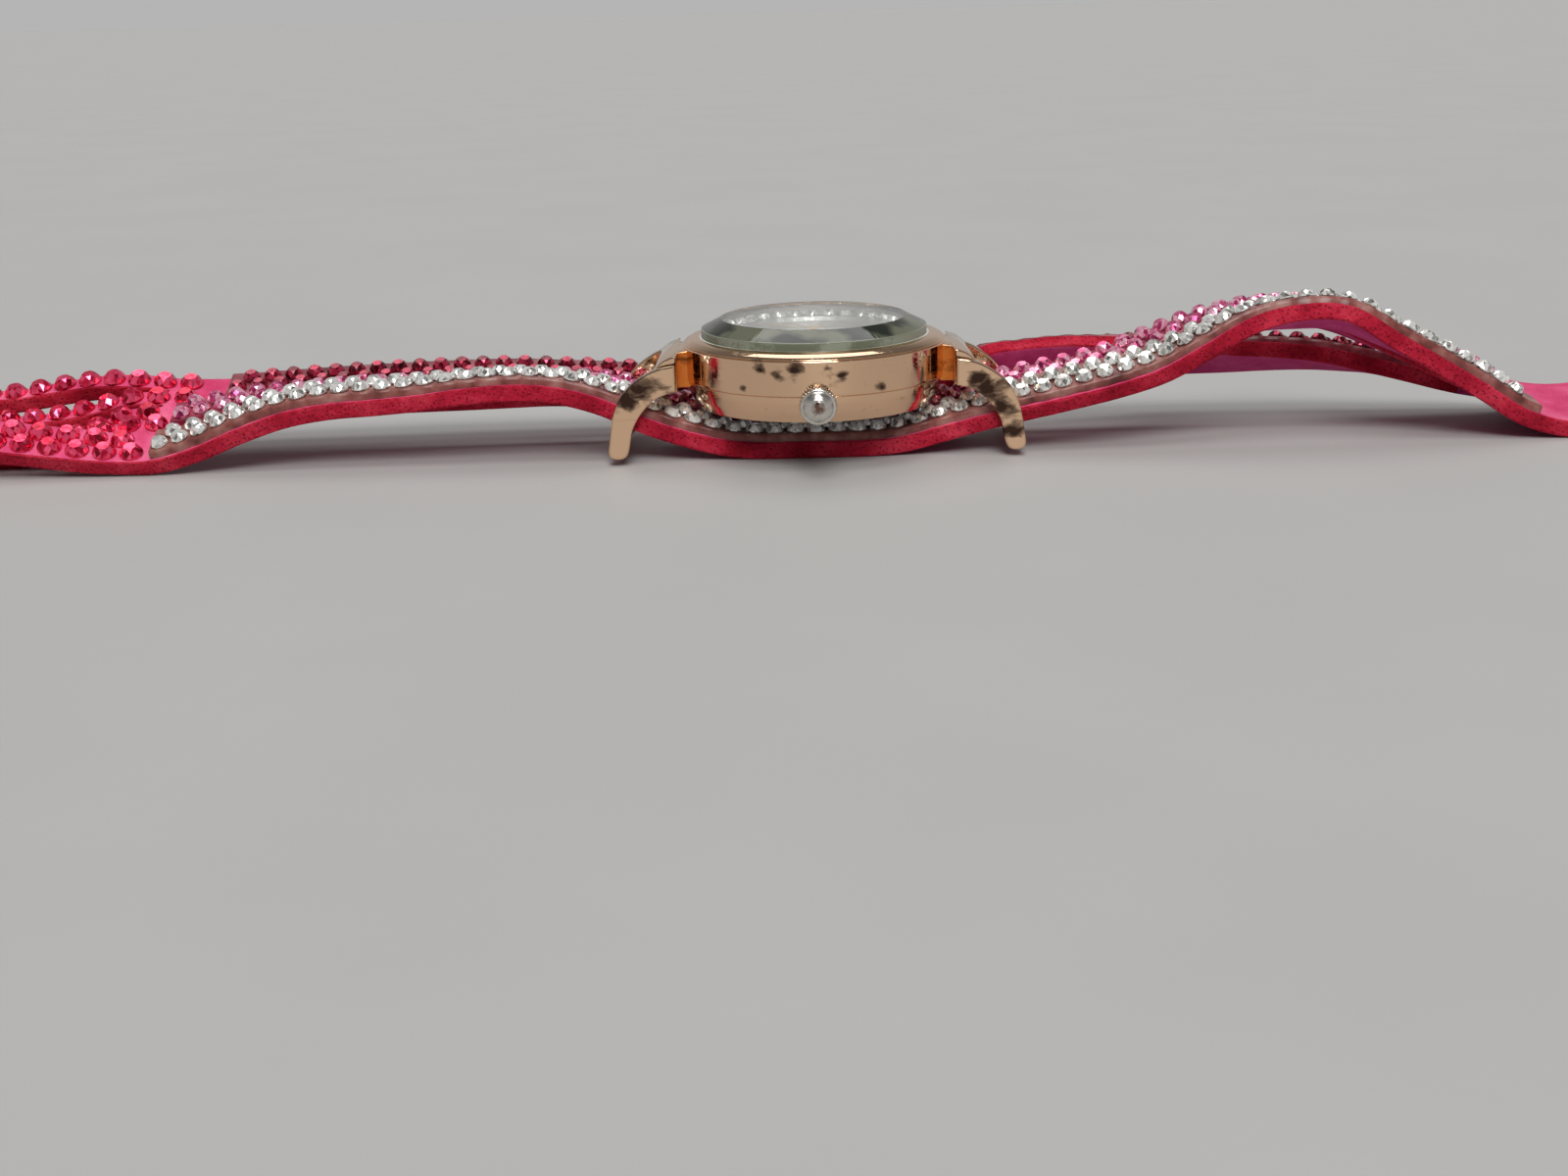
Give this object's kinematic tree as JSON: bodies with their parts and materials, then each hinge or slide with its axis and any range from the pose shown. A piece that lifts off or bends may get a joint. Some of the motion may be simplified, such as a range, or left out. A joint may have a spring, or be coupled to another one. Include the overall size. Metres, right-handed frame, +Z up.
{
  "type": "wrap watch",
  "caption": "Round quartz wristwatch on a long slit suede wrap strap set with rhinestone rows, snaps at the strap ends.",
  "frame": {"origin": "on the table plane, on the strap's underside straight under the axis of the hands", "axes": "+X along the strap towards twelve o'clock, +Y away from the crown, +Z up out of the glass"},
  "size_m": [0.38, 0.0328, 0.0175],
  "materials": {
    "suede": "napped suede",
    "strip_clear": "clear resin strip over pale tan glue",
    "strip_pink": "clear resin strip",
    "strip_garnet": "clear resin strip",
    "crystal": "faceted glass",
    "pink_crystal": "faceted glass",
    "garnet_crystal": "faceted glass",
    "fuchsia_crystal": "faceted glass with a violet coating",
    "snap_metal": "nickel plate",
    "snap_cap_metal": "nickel plate",
    "rose_gold_plate": "polished rose gold plate, scratched",
    "back_steel": "brushed",
    "seal_rubber": "matt",
    "glass_seal": "satin",
    "mineral_glass": "polished, edge chipped",
    "ring_chrome": "polished",
    "dial_silver": "silvered",
    "rose_gold_trim": "polished",
    "holder_plastic": "moulded",
    "plate_brass": "matt",
    "board_green": "coated",
    "cell_steel": "satin",
    "copper_wire": "enamelled wire",
    "core_iron": "plain",
    "rotor_magnet": "sintered",
    "wheel_brass": "polished",
    "crown_chrome": "worn silver plate",
    "steel": "plain"
  },
  "bodies": {
    "case_and_strap": {"strap": "suede", "crystal_carrier": "strip_clear", "pink_carrier": "strip_pink", "garnet_carrier": "strip_garnet", "crystal_stones_near": "crystal", "crystal_stones_far": "crystal", "pink_stones_near": "pink_crystal", "pink_stones_far": "pink_crystal", "garnet_stones_near": "garnet_crystal", "garnet_stones_far": "garnet_crystal", "fuchsia_stones_left": "fuchsia_crystal", "fuchsia_stones_right": "fuchsia_crystal", "snap_studs": "snap_metal", "snap_posts": "snap_metal", "snap_caps": "snap_cap_metal", "snap_sockets": "snap_metal", "case_middle": "rose_gold_plate", "case_back": "back_steel", "case_back_gasket": "seal_rubber", "bezel": "rose_gold_plate", "glass": "mineral_glass", "glass_gasket": "glass_seal", "rehaut_ring": "ring_chrome", "rehaut_stones": "crystal", "dial": "dial_silver", "hour_markers": "rose_gold_trim", "movement_ring": "holder_plastic", "mainplate": "plate_brass", "train_bridge": "plate_brass", "circuit_board": "board_green", "cell": "cell_steel", "cell_clamp": "plate_brass", "coil": "copper_wire", "coil_core": "core_iron", "stator": "core_iron", "case_tube": "steel", "spring_bar_left": "steel", "spring_bar_right": "steel", "bar_spring_left": "steel", "bar_spring_right": "steel"},
    "seconds": {"seconds_wheel": "wheel_brass", "second_hand": "rose_gold_trim"},
    "minutes": {"centre_wheel": "wheel_brass", "minute_hand": "rose_gold_trim"},
    "hours": {"hour_wheel": "wheel_brass", "hour_hand": "rose_gold_trim"},
    "third": {"third_wheel": "wheel_brass"},
    "intermediate": {"intermediate_wheel": "wheel_brass"},
    "rotor": {"rotor": "rotor_magnet"},
    "minute_work": {"minute_wheel": "wheel_brass"},
    "clutch": {"clutch_wheel": "steel"},
    "crown": {"crown": "crown_chrome", "stem": "steel", "crown_gasket": "seal_rubber"},
    "tip_left_near": {"bar_tip_left_near": "steel"},
    "tip_left_far": {"bar_tip_left_far": "steel"},
    "tip_right_near": {"bar_tip_right_near": "steel"},
    "tip_right_far": {"bar_tip_right_far": "steel"}
  },
  "joints": [
    {"name": "seconds_turn", "type": "hinge", "parent": "case_and_strap", "child": "seconds", "pos_m": [0, 0, 0.0085], "axis": [0, 0, -1], "continuous": true},
    {"name": "minutes_turn", "type": "hinge", "parent": "case_and_strap", "child": "minutes", "pos_m": [0, 0, 0.0085], "axis": [0, 0, -1], "continuous": true},
    {"name": "hours_turn", "type": "hinge", "parent": "case_and_strap", "child": "hours", "pos_m": [0, 0, 0.0085], "axis": [0, 0, -1], "continuous": true},
    {"name": "third_turn", "type": "hinge", "parent": "case_and_strap", "child": "third", "pos_m": [0.00319, -0.00116, 0.0085], "axis": [0, 0, -1], "continuous": true},
    {"name": "intermediate_turn", "type": "hinge", "parent": "case_and_strap", "child": "intermediate", "pos_m": [-0.00115, 0.00316, 0.0085], "axis": [0, 0, -1], "continuous": true},
    {"name": "rotor_turn", "type": "hinge", "parent": "case_and_strap", "child": "rotor", "pos_m": [0.00008, 0.00528, 0.0085], "axis": [0, 0, -1], "continuous": true},
    {"name": "minute_work_turn", "type": "hinge", "parent": "case_and_strap", "child": "minute_work", "pos_m": [0.00075, -0.0028, 0.0085], "axis": [0, 0, -1], "continuous": true},
    {"name": "crown_turn", "type": "hinge", "parent": "case_and_strap", "child": "clutch", "pos_m": [0, -0.005, 0.0082], "axis": [0, -1, 0], "continuous": true},
    {"name": "crown_pull", "type": "slide", "parent": "clutch", "child": "crown", "axis": [0, -1, 0], "range_m": [0, 0.0007]},
    {"name": "tip_left_near_push", "type": "slide", "parent": "case_and_strap", "child": "tip_left_near", "axis": [0, 1, 0], "range_m": [0, 0.0008], "stiffness_N_per_m": 200, "deforming": ["bar_spring_left"]},
    {"name": "tip_left_far_push", "type": "slide", "parent": "case_and_strap", "child": "tip_left_far", "axis": [0, -1, 0], "range_m": [0, 0.0008], "stiffness_N_per_m": 200, "deforming": ["bar_spring_left"]},
    {"name": "tip_right_near_push", "type": "slide", "parent": "case_and_strap", "child": "tip_right_near", "axis": [0, 1, 0], "range_m": [0, 0.0008], "stiffness_N_per_m": 200, "deforming": ["bar_spring_right"]},
    {"name": "tip_right_far_push", "type": "slide", "parent": "case_and_strap", "child": "tip_right_far", "axis": [0, -1, 0], "range_m": [0, 0.0008], "stiffness_N_per_m": 200, "deforming": ["bar_spring_right"]}
  ],
  "couplings": [
    {"joint": "minutes_turn", "follows": "seconds_turn", "ratio": 0.016667},
    {"joint": "hours_turn", "follows": "seconds_turn", "ratio": 0.0013889},
    {"joint": "third_turn", "follows": "seconds_turn", "ratio": -0.125},
    {"joint": "intermediate_turn", "follows": "seconds_turn", "ratio": -5},
    {"joint": "rotor_turn", "follows": "seconds_turn", "ratio": 30},
    {"joint": "minute_work_turn", "follows": "seconds_turn", "ratio": -0.0041667}
  ]
}
